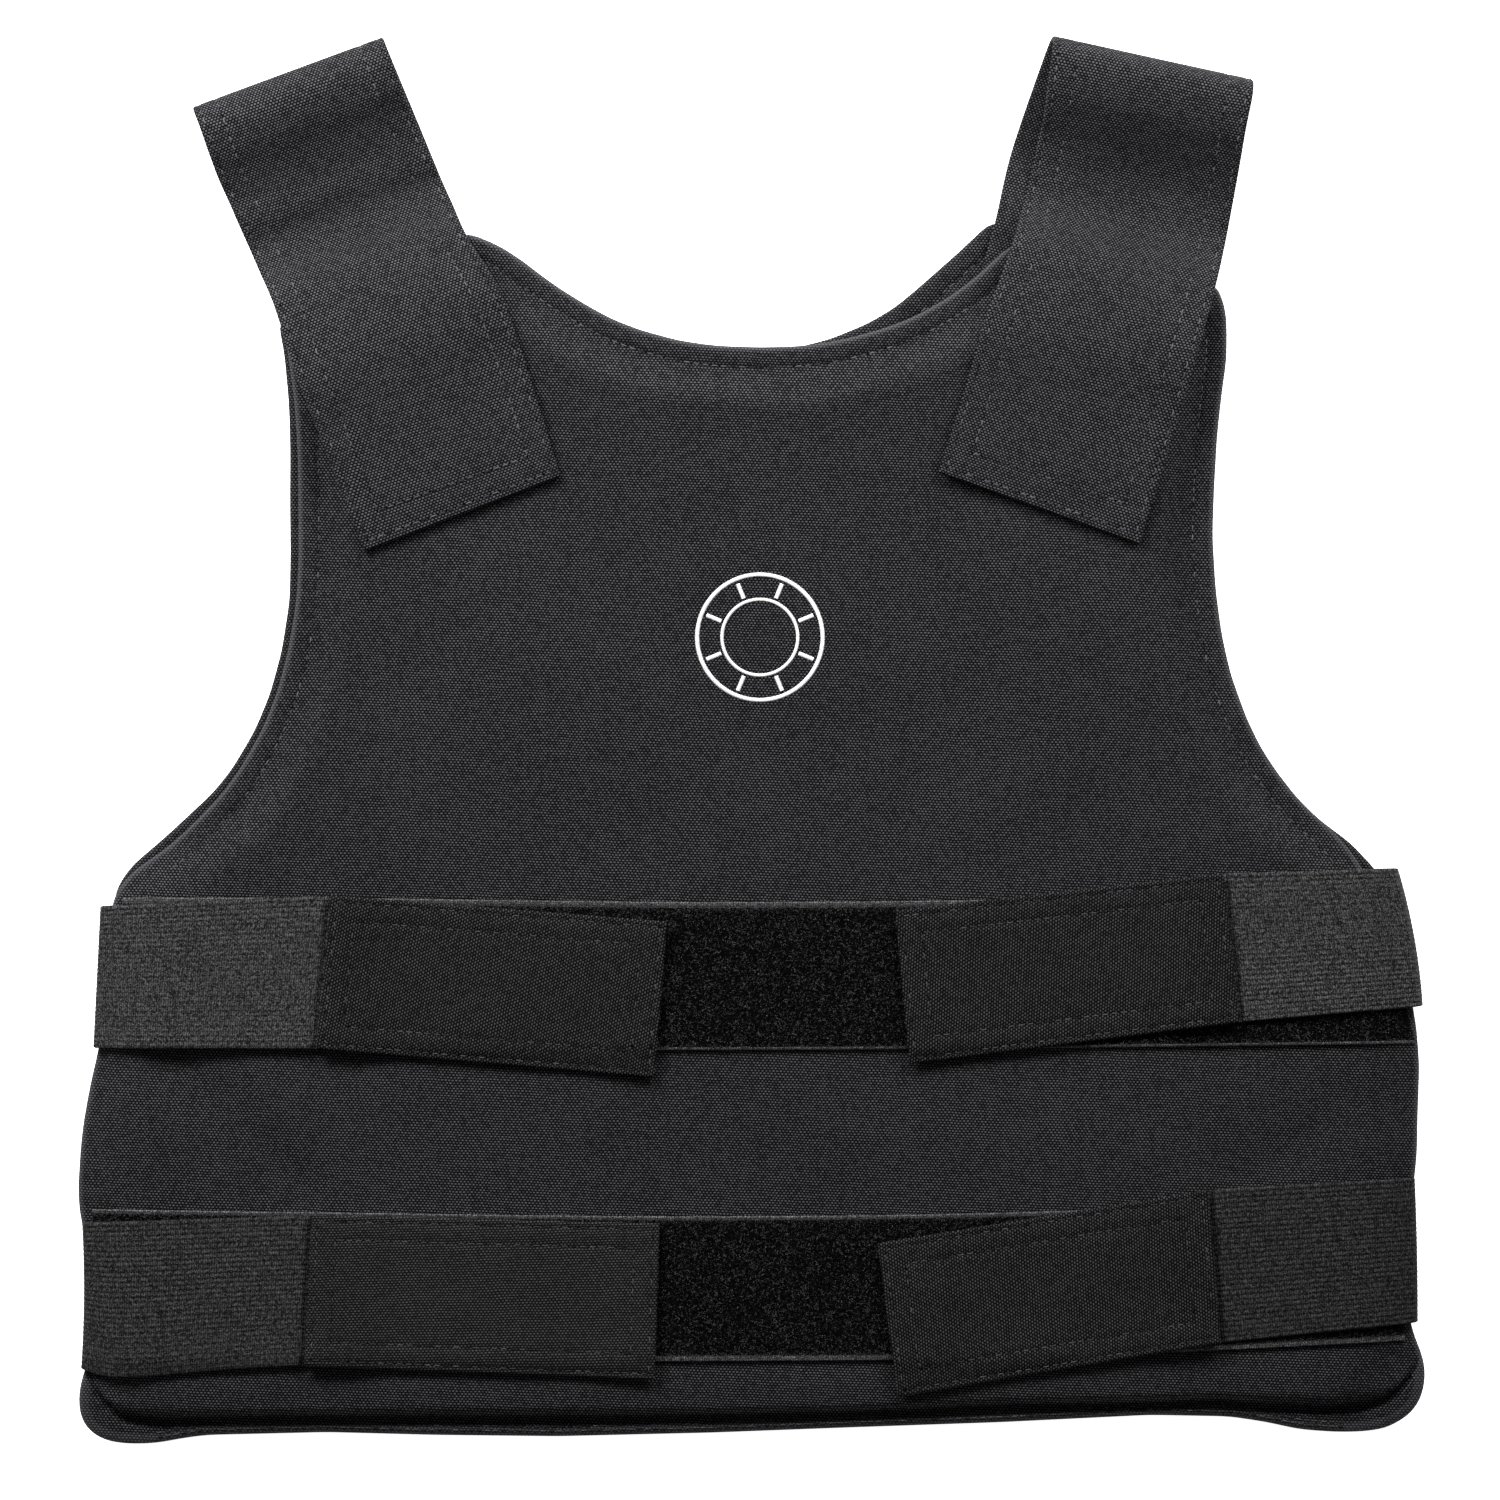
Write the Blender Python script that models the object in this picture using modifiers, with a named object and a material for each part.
"""Soft body-armour vest, lying flat on its back with the front panel up.

Two padded panels lie one over the other with room for a torso between them. Wide straps, sewn to
the back panel, fold over at the shoulders and lie on the front. Elastic webbing wraps round both
sides and ends in canvas tabs that hold on two loop bands across the front.

+X is the right of the laid-out vest, +Y runs from the hem to the neck and +Z is up. The tables are
in millimetres, and the objects are in metres.
"""
import math

import bmesh
import bpy
import numpy as np
from mathutils import Vector, geometry

MM = 0.001

# Panels: a pad of soft plies in a canvas carrier, with a flat sewn margin all round
PAD_THICKNESS = 9.0
MARGIN_THICKNESS = 2.4
TORSO_GAP = 6.0
FRONT_BASE = PAD_THICKNESS + TORSO_GAP
BACK_MARGIN_RAISE = 2.0
BACK_RAISE_START = 14.0
BACK_RAISE_END = 22.0

# The front panel sinks towards its sides, where the elastic pulls it down
SIDE_SAG = 4.0
SAG_START = 150.0
SAG_LENGTH = 80.0
MARGIN_DROOP = 1.0
DROOP_WIDTH = 18.0

# Margin widths and the slopes from the margin up to the full pad
ARM_MARGIN = 7.5
ARM_RAMP = 14.0
SIDE_MARGIN = 1.0
SIDE_RAMP = 22.0
SIDE_TOP_Y = -52.0
SIDE_BLEND = 30.0
SIDE_BLEND_ACROSS = 21.0
SIDE_ROUNDNESS = 2.5
PAD_FOOT_LEFT_Y = -231.5
PAD_FOOT_SLOPE = 0.0065
FOOT_RAMP = 9.0

# Woven strips
LOOP_THICKNESS = 2.2
ELASTIC_THICKNESS = 1.4
CANVAS_THICKNESS = 2.4
GAP = 0.3
SEAM_OVERLAP = 12.0

# Mesh spacing
OUTLINE_STEPS = 3
RING_OFFSETS = (3.5, 8.5, 14.5, 21.5)
RING_CLEARANCE = 6.0
GRID_SPACING = 30.0
CORNER_SPACING = 11.0
RING_TOLERANCE = 0.97
ROOM_SHARE = 0.7
BAND_END_STEPS = (0.0, 2.0, 4.5, 8.0, 12.0, 17.0, 23.0, 30.0, 38.0, 48.0, 60.0)
BAND_MIDDLE_STEPS = 9
BAND_END_LIFT = 1.3
STRAP_STEPS = 3

# Panel edges: name, front x, front y, back x, back y, corner or smooth
OUTLINE = (
    ("neck_left", -98.0, 174.0, -100.5, 171.0, "corner"),
    ("neck_left_high", -85.0, 168.4, -87.0, 164.5, "smooth"),
    ("neck_left_side", -65.5, 154.4, -66.5, 151.0, "smooth"),
    ("neck_left_low", -38.5, 140.5, -38.5, 138.5, "smooth"),
    ("neck_low", 2.0, 134.5, 0.0, 133.0, "smooth"),
    ("neck_right_low", 40.5, 139.5, 40.0, 143.0, "smooth"),
    ("neck_right_side", 68.0, 152.0, 64.0, 161.2, "smooth"),
    ("neck_right", 89.0, 170.0, 82.2, 178.0, "corner"),
    ("shoulder_right", 159.6, 156.0, 151.5, 160.5, "corner"),
    ("arm_right_top", 162.8, 144.5, 157.0, 146.0, "smooth"),
    ("arm_right_upper", 159.5, 104.0, 156.0, 104.0, "smooth"),
    ("arm_right_mid", 159.0, 51.5, 157.0, 51.5, "smooth"),
    ("arm_right_low", 169.5, 7.5, 167.5, 7.5, "smooth"),
    ("arm_right_foot", 186.5, -19.5, 186.0, -19.5, "smooth"),
    ("corner_right", 204.0, -36.5, 214.5, -45.0, "smooth"),
    ("side_right_top", 216.5, -59.0, 221.0, -62.0, "smooth"),
    ("side_right_high", 228.0, -99.0, 225.5, -99.0, "smooth"),
    ("side_right_mid", 227.4, -136.0, 225.4, -136.0, "smooth"),
    ("side_right_notch", 224.9, -154.0, 223.2, -154.0, "smooth"),
    ("side_right_low", 225.8, -200.0, 224.0, -200.0, "smooth"),
    ("lobe_right_out", 231.0, -217.0, 229.0, -216.0, "smooth"),
    ("lobe_right_turn", 225.0, -232.0, 223.0, -230.0, "smooth"),
    ("lobe_right_foot", 200.0, -237.4, 199.5, -235.5, "smooth"),
    ("hem_right", 163.5, -232.0, 163.5, -230.0, "smooth"),
    ("hem_mid_right", 85.0, -234.0, 85.0, -232.0, "smooth"),
    ("hem_mid_left", -66.0, -238.8, -66.0, -236.8, "smooth"),
    ("hem_left", -187.5, -238.4, -187.0, -236.4, "smooth"),
    ("lobe_left_foot", -212.5, -241.5, -211.0, -239.0, "smooth"),
    ("lobe_left_turn", -227.5, -237.0, -225.5, -235.0, "smooth"),
    ("lobe_left_out", -231.0, -226.5, -229.0, -225.0, "smooth"),
    ("side_left_low", -227.8, -211.5, -226.1, -211.5, "smooth"),
    ("side_left_notch", -227.7, -168.0, -226.0, -168.0, "smooth"),
    ("side_left_mid", -230.3, -143.0, -228.3, -143.0, "smooth"),
    ("side_left_waist", -227.4, -120.5, -225.4, -120.5, "smooth"),
    ("side_left_high", -223.6, -103.0, -222.0, -103.0, "smooth"),
    ("side_left_top", -220.5, -65.5, -219.0, -65.5, "smooth"),
    ("corner_left", -217.4, -51.0, -218.0, -50.5, "smooth"),
    ("arm_left_foot", -198.0, -35.0, -200.4, -32.5, "smooth"),
    ("arm_left_low", -174.5, -8.5, -178.5, -10.0, "smooth"),
    ("arm_left_mid", -159.0, 30.5, -161.5, 30.5, "smooth"),
    ("arm_left_upper", -155.5, 82.0, -158.7, 82.0, "smooth"),
    ("arm_left_top", -159.0, 132.0, -160.6, 132.0, "smooth"),
    ("shoulder_left", -162.0, 144.5, -163.0, 143.5, "corner"),
)

# Shoulder straps, along the strap: section, left x, left y, right x, right y, height of its middle
STRAPS = {
    "left": (
        ("sewn", -160.7, 140.5, -97.9, 165.2, 6.2),
        ("leave", -165.3, 153.5, -100.8, 177.5, 5.9),
        ("floor", -175.6, 177.5, -110.4, 201.5, 2.4),
        ("turn_low", -189.3, 209.7, -123.8, 233.8, 1.8),
        ("fold", -191.8, 215.9, -126.2, 240.1, 6.6),
        ("turn_high", -189.3, 209.7, -123.8, 233.8, 11.3),
        ("dip", -184.9, 196.0, -119.0, 220.0, 10.4),
        ("rise", -175.3, 174.8, -109.1, 197.7, 14.0),
        ("shoulder", -163.6, 148.0, -97.4, 172.0, 19.4),
        ("ridge", -156.1, 124.7, -85.8, 152.1, 26.4),
        ("rest", -144.7, 95.9, -74.4, 119.2, 25.6),
        ("end", -132.7, 64.3, -65.5, 90.0, 26.6),
    ),
    "right": (
        ("sewn", 81.4, 170.7, 148.3, 151.1, 6.2),
        ("leave", 84.0, 180.2, 150.9, 160.7, 5.9),
        ("floor", 89.2, 202.2, 156.4, 182.6, 2.4),
        ("turn_low", 100.6, 235.4, 170.0, 220.4, 1.8),
        ("fold", 103.0, 240.4, 172.0, 225.0, 6.6),
        ("turn_high", 102.6, 235.8, 171.6, 220.4, 11.3),
        ("dip", 99.5, 217.6, 168.4, 202.2, 10.4),
        ("rise", 95.4, 188.5, 164.3, 172.7, 14.4),
        ("shoulder", 88.8, 168.6, 158.1, 152.1, 21.0),
        ("ridge", 79.9, 143.9, 151.3, 128.1, 26.8),
        ("rest", 72.0, 117.1, 142.0, 96.6, 25.6),
        ("end", 63.8, 91.4, 132.7, 66.7, 26.6),
    ),
}

# Side fastenings: place, then x and y of the upper and lower edge at the fold, seam and tip, and
# how far the fold bows out between its ends
FASTENINGS = (
    ("upper_left", (-223.6, -57.1), (-226.0, -105.8), (-144.1, -53.3), (-149.2, -106.0),
     (-29.0, -62.3), (-33.3, -115.9), 0.0),
    ("lower_left", (-229.9, -165.5), (-230.2, -214.8), (-150.7, -162.8), (-153.3, -214.5),
     (-31.6, -165.7), (-33.3, -219.3), 0.0),
    ("upper_right", (221.6, -44.1), (230.2, -91.4), (161.2, -45.8), (167.0, -96.9),
     (49.0, -58.5), (53.9, -111.3), 1.6),
    ("lower_right", (227.4, -150.2), (228.4, -199.8), (156.1, -154.2), (160.5, -206.7),
     (43.0, -172.5), (49.9, -225.2), 0.3),
)

# Turn of the elastic round the panels' edges: distance in from the fold, height of its middle
WRAP = (
    ("sewn_end", 13.0, 1.0),
    ("under_margin", 6.0, 1.0),
    ("under_edge", 3.2, 1.2),
    ("low_turn", 1.2, 2.6),
    ("side_low", 0.7, 6.0),
    ("side_mid", 0.7, 10.0),
    ("side_high", 0.8, 13.5),
    ("high_turn", 1.5, 16.8),
)
# Distances in from the fold at which the elastic follows the panel again
ELASTIC_FOLLOW = (3.5, 6.5, 10.0, 15.0, 21.0, 30.0, 42.0)
ELASTIC_EASE = 2.2
ELASTIC_SEAM_STEPS = 4
UNDER_SAMPLES = (0.1, 0.4, 0.7, 0.95)

# Side view of a tab: share of its length from the seam, and its rise in shares of the elastic's step
TAB_PROFILE = (
    ("seam", 0.0, 1.0),
    ("elastic_end", 0.105, 1.0),
    ("step_down", 0.175, 0.55),
    ("on_band", 0.25, 0.0),
    ("middle", 0.5, 0.0),
    ("before_tip", 0.82, 0.0),
    ("tip", 1.0, 0.5),
)

# Loop bands: place along the band, then x, y of the upper edge and x, y of the lower edge
BANDS = {
    "upper": (
        ("left_end", -215.5, -54.0, -220.8, -105.8),
        ("left_quarter", -144.7, -54.0, -144.7, -106.2),
        ("middle", -17.8, -55.4, -17.8, -106.5),
        ("right_quarter", 102.2, -54.4, 102.2, -104.8),
        ("right_end", 210.0, -52.0, 223.0, -102.7),
    ),
    "lower": (
        ("left_end", -226.0, -160.7, -225.4, -212.1),
        ("left_quarter", -151.6, -161.7, -151.6, -213.2),
        ("middle", -17.8, -163.1, -17.8, -213.2),
        ("right_quarter", 102.2, -161.4, 102.2, -211.8),
        ("right_end", 223.0, -155.6, 223.6, -206.3),
    ),
}

COLOURS = {
    "canvas_front": ((0.034, 0.034, 0.040, 1.0), 0.85),
    "canvas_back": ((0.030, 0.030, 0.035, 1.0), 0.85),
    "canvas_strap": ((0.042, 0.042, 0.050, 1.0), 0.85),
    "canvas_tab": ((0.022, 0.022, 0.024, 1.0), 0.88),
    "elastic": ((0.042, 0.042, 0.042, 1.0), 0.80),
    "loop_pile": ((0.007, 0.007, 0.008, 1.0), 0.95),
}


def clear_scene():
    for thing in list(bpy.data.objects):
        bpy.data.objects.remove(thing, do_unlink=True)


def smoothstep(value):
    t = np.clip(value, 0.0, 1.0)
    return t * t * (3.0 - 2.0 * t)


def edge_curve(side):
    """Even points along the closed outline of the front or back panel, in millimetres."""
    first = {"front": 1, "back": 3}[side]
    curve = bpy.data.curves.new("outline", "CURVE")
    curve.dimensions = "2D"
    curve.fill_mode = "NONE"
    curve.resolution_u = OUTLINE_STEPS
    spline = curve.splines.new("BEZIER")
    spline.use_cyclic_u = True
    spline.bezier_points.add(len(OUTLINE) - 1)
    for point, row in zip(spline.bezier_points, OUTLINE):
        handle = "VECTOR" if row[5] == "corner" else "AUTO"
        point.co = (row[first], row[first + 1], 0.0)
        point.handle_left_type = handle
        point.handle_right_type = handle
    guide = bpy.data.objects.new("outline", curve)
    bpy.context.scene.collection.objects.link(guide)
    bpy.context.view_layer.update()
    mesh = bpy.data.meshes.new_from_object(guide.evaluated_get(bpy.context.evaluated_depsgraph_get()))
    points = np.array([vertex.co[:2] for vertex in mesh.vertices])
    bpy.data.meshes.remove(mesh)
    bpy.data.objects.remove(guide, do_unlink=True)
    bpy.data.curves.remove(curve)
    return points


class Panel:
    """The plan and the two surfaces of one padded panel, in millimetres."""

    def __init__(self, side):
        self.side = side
        self.outline = edge_curve(side)

    def inset(self, x, y):
        """Distance in from the outline, and below zero outside it."""
        start = self.outline
        step = np.roll(start, -1, axis=0) - start
        place = np.array((x, y)) - start
        along = np.clip((place * step).sum(1) / (step * step).sum(1), 0.0, 1.0)
        distance = np.sqrt(((place - step * along[:, None]) ** 2).sum(1)).min()
        end = start + step
        spans = (start[:, 1] > y) != (end[:, 1] > y)
        rise = np.where(step[:, 1] == 0.0, 1.0, step[:, 1])
        crossing = start[:, 0] + (y - start[:, 1]) / rise * step[:, 0]
        inside = np.count_nonzero(spans & (crossing > x)) % 2 == 1
        return distance if inside else -distance

    def fullness(self, x, y):
        """How much of the pad's height there is: 0 on the margin and 1 on the flat of the pad."""
        inset = self.inset(x, y)
        at_side = smoothstep((SIDE_TOP_Y + SIDE_BLEND - y) / SIDE_BLEND)
        at_side *= smoothstep((abs(x) - SAG_START) / SIDE_BLEND_ACROSS)
        arm = smoothstep((inset - ARM_MARGIN) / ARM_RAMP)
        reach = np.clip((inset - SIDE_MARGIN) / SIDE_RAMP, 0.0, 1.0)
        side = 1.0 - (1.0 - reach) ** SIDE_ROUNDNESS
        foot_line = PAD_FOOT_LEFT_Y + PAD_FOOT_SLOPE * (x - self.outline[:, 0].min())
        foot = smoothstep((y - foot_line) / FOOT_RAMP)
        return min(arm + (side - arm) * at_side, foot)

    def bottom(self, x, y):
        inset = self.inset(x, y)
        if self.side == "back":
            lift = smoothstep((inset - BACK_RAISE_START) / (BACK_RAISE_END - BACK_RAISE_START))
            return BACK_MARGIN_RAISE * (1.0 - lift)
        sag = SIDE_SAG * max(0.0, (abs(x) - SAG_START) / SAG_LENGTH) ** 2
        droop = MARGIN_DROOP * (1.0 - smoothstep(inset / DROOP_WIDTH))
        return FRONT_BASE - sag - droop

    def top(self, x, y):
        base = 0.0 if self.side == "back" else self.bottom(x, y)
        height = MARGIN_THICKNESS + (PAD_THICKNESS - MARGIN_THICKNESS) * self.fullness(x, y)
        return max(base + height, self.bottom(x, y) + MARGIN_THICKNESS)

    def plan(self):
        """A triangle net over the outline: rings that follow the edge, and a grid inside them."""
        outline = self.outline
        ahead = np.roll(outline, -1, axis=0) - np.roll(outline, 1, axis=0)
        ahead /= np.linalg.norm(ahead, axis=1)[:, None]
        inward = np.stack((ahead[:, 1], -ahead[:, 0]), axis=1)
        placed = list(outline)
        for offset in RING_OFFSETS:
            ring = outline + inward * offset
            placed += [point for point in ring if self.inset(*point) > offset * RING_TOLERANCE]
        low = outline.min(axis=0)
        high = outline.max(axis=0)
        inner = RING_OFFSETS[-1] + RING_CLEARANCE
        fills = ((GRID_SPACING, inner, math.inf), (CORNER_SPACING, RING_OFFSETS[0], inner))
        for room, nearest_edge, farthest_edge in fills:
            for x in np.arange(low[0], high[0], room):
                for y in np.arange(low[1], high[1], room):
                    here = np.array((x, y))
                    gap = np.linalg.norm(np.array(placed) - here, axis=1).min()
                    in_zone = nearest_edge < self.inset(x, y) < farthest_edge
                    if in_zone and gap > room * ROOM_SHARE:
                        placed.append(here)
        points = [Vector(point) for point in placed]
        count = len(outline)
        edges = [(index, (index + 1) % count) for index in range(count)]
        inside_only = 1
        net = geometry.delaunay_2d_cdt(points, edges, [], inside_only, 0.001)
        return net[0], net[2]

    def build(self, name, material):
        points, faces = self.plan()
        sheet = bmesh.new()
        corners = [sheet.verts.new((point.x, point.y, 0.0)) for point in points]
        for face in faces:
            sheet.faces.new([corners[index] for index in face])
        lifted = bmesh.ops.extrude_face_region(sheet, geom=sheet.faces[:])["geom"]
        upper = {vertex for vertex in lifted if isinstance(vertex, bmesh.types.BMVert)}
        for vertex in sheet.verts:
            surface = self.top if vertex in upper else self.bottom
            vertex.co.z = surface(vertex.co.x, vertex.co.y)
        bmesh.ops.recalc_face_normals(sheet, faces=sheet.faces[:])
        return finish(name, sheet, material)


def finish(name, shape, material):
    """Turn a bmesh in millimetres into an object in metres."""
    bmesh.ops.scale(shape, vec=(MM, MM, MM), verts=shape.verts[:])
    mesh = bpy.data.meshes.new(name)
    shape.to_mesh(mesh)
    shape.free()
    mesh.shade_smooth()
    mesh.set_sharp_from_angle(angle=math.radians(40.0))
    mesh.materials.append(material)
    thing = bpy.data.objects.new(name, mesh)
    vest.objects.link(thing)
    return thing


def strip(name, sections, thickness, material):
    """A cloth strip: a sheet through pairs of edge points, thickened evenly about its middle."""
    sheet = bmesh.new()
    rows = [[sheet.verts.new(point) for point in section] for section in sections]
    for row, following in zip(rows, rows[1:]):
        for column in range(len(row) - 1):
            sheet.faces.new((row[column], row[column + 1], following[column + 1], following[column]))
    thing = finish(name, sheet, material)
    thicken = thing.modifiers.new("thickness", "SOLIDIFY")
    thicken.thickness = thickness * MM
    thicken.offset = 0.0
    thicken.use_even_offset = True
    return thing


def between(first, second, share):
    return tuple(a + (b - a) * share for a, b in zip(first, second))


def smooth_rows(rows, steps):
    """Rows of numbers with more rows worked out between them, on a Catmull-Rom curve."""
    table = np.array(rows, dtype=float)
    result = []
    for index in range(len(table) - 1):
        before = table[max(index - 1, 0)]
        start = table[index]
        end = table[index + 1]
        after = table[min(index + 2, len(table) - 1)]
        for step in range(steps):
            t = step / steps
            result.append(start + 0.5 * t * (end - before)
                          + t * t * (before - 2.5 * start + 2.0 * end - 0.5 * after)
                          + t * t * t * (1.5 * (start - end) + 0.5 * (after - before)))
    result.append(table[-1])
    return result


def loop_band(place, front, material):
    """A loop band, sewn flat on the front panel and following its sides."""
    lift = GAP + LOOP_THICKNESS / 2.0
    rows = np.array([row[1:] for row in BANDS[place]])
    along = rows[:, 0] - rows[0, 0]
    ends = np.array(BAND_END_STEPS)
    middle = np.linspace(ends[-1], along[-1] - ends[-1], BAND_MIDDLE_STEPS)[1:-1]
    stations = (*ends, *middle, *(along[-1] - ends[::-1]))
    sections = [[np.interp(station, along, column) for column in rows.T] for station in stations]
    points = []
    for upper_x, upper_y, lower_x, lower_y in sections:
        section = []
        for share in (0.0, 0.5, 1.0):
            x, y = between((upper_x, upper_y), (lower_x, lower_y), share)
            extra = BAND_END_LIFT * (1.0 - min(front.inset(x, y) / SIDE_RAMP, 1.0))
            section.append((x, y, front.top(x, y) + lift + extra))
        points.append(section)
    return strip("loop_band_" + place, points, LOOP_THICKNESS, material)


def fastening(row, front, elastic_material, tab_material):
    """One side fastening: the elastic round the panels' edges and the tab sewn on its end."""
    place, fold_top, fold_low, seam_top, seam_low, tip_top, tip_low, bow = row
    over_band = GAP + LOOP_THICKNESS + GAP + ELASTIC_THICKNESS / 2.0
    length = abs(fold_top[0] - seam_top[0])
    outward = math.copysign(1.0, fold_top[0])

    def across(inward, height):
        share = inward / length
        top = between(fold_top, seam_top, share)
        low = between(fold_low, seam_low, share)
        x, y = between(top, low, 0.5)
        bowed = bow * outward * max(0.0, 1.0 - share)
        return (*top, height), (x + bowed, y, height), (*low, height)

    sections = [across(inward, height) for _, inward, height in WRAP]
    end = length + SEAM_OVERLAP
    seam_run = np.linspace(ELASTIC_FOLLOW[-1], end, ELASTIC_SEAM_STEPS + 1)[1:]
    for inward in (*ELASTIC_FOLLOW, *seam_run):
        top, _, low = across(inward, 0.0)
        under = [front.top(*between(top[:2], low[:2], share)) for share in UNDER_SAMPLES]
        ease = ELASTIC_EASE * max(0.0, 1.0 - inward / ELASTIC_FOLLOW[-1])
        sections.append(across(inward, max(under) + over_band + ease))
    strip("side_elastic_" + place, sections, ELASTIC_THICKNESS, elastic_material)

    flat = front.top(0.0, 0.0) + GAP + LOOP_THICKNESS + GAP + CANVAS_THICKNESS / 2.0
    step_up = ELASTIC_THICKNESS + GAP
    sections = []
    for _, share, rise in TAB_PROFILE:
        top = between(seam_top, tip_top, share)
        low = between(seam_low, tip_low, share)
        height = flat + step_up * rise
        sections.append(((*top, height), (*low, height)))
    strip("hook_tab_" + place, sections, CANVAS_THICKNESS, tab_material)


def shoulder_strap(side, material):
    rows = smooth_rows([row[1:] for row in STRAPS[side]], STRAP_STEPS)
    sections = [((lx, ly, z), (rx, ry, z)) for lx, ly, rx, ry, z in rows]
    return strip("shoulder_strap_" + side, sections, CANVAS_THICKNESS, material)


def make_materials():
    made = {}
    for name, (colour, roughness) in COLOURS.items():
        material = bpy.data.materials.new(name)
        material.use_nodes = True
        shader = material.node_tree.nodes["Principled BSDF"]
        shader.inputs["Base Color"].default_value = colour
        shader.inputs["Roughness"].default_value = roughness
        shader.inputs["Metallic"].default_value = 0.0
        made[name] = material
    return made


clear_scene()
vest = bpy.data.collections.new("bulletproof_vest")
bpy.context.scene.collection.children.link(vest)
materials = make_materials()

back = Panel("back")
front = Panel("front")
back.build("back_panel", materials["canvas_back"])
front.build("front_panel", materials["canvas_front"])
for place in BANDS:
    loop_band(place, front, materials["loop_pile"])
for row in FASTENINGS:
    fastening(row, front, materials["elastic"], materials["canvas_tab"])
for side in STRAPS:
    shoulder_strap(side, materials["canvas_strap"])
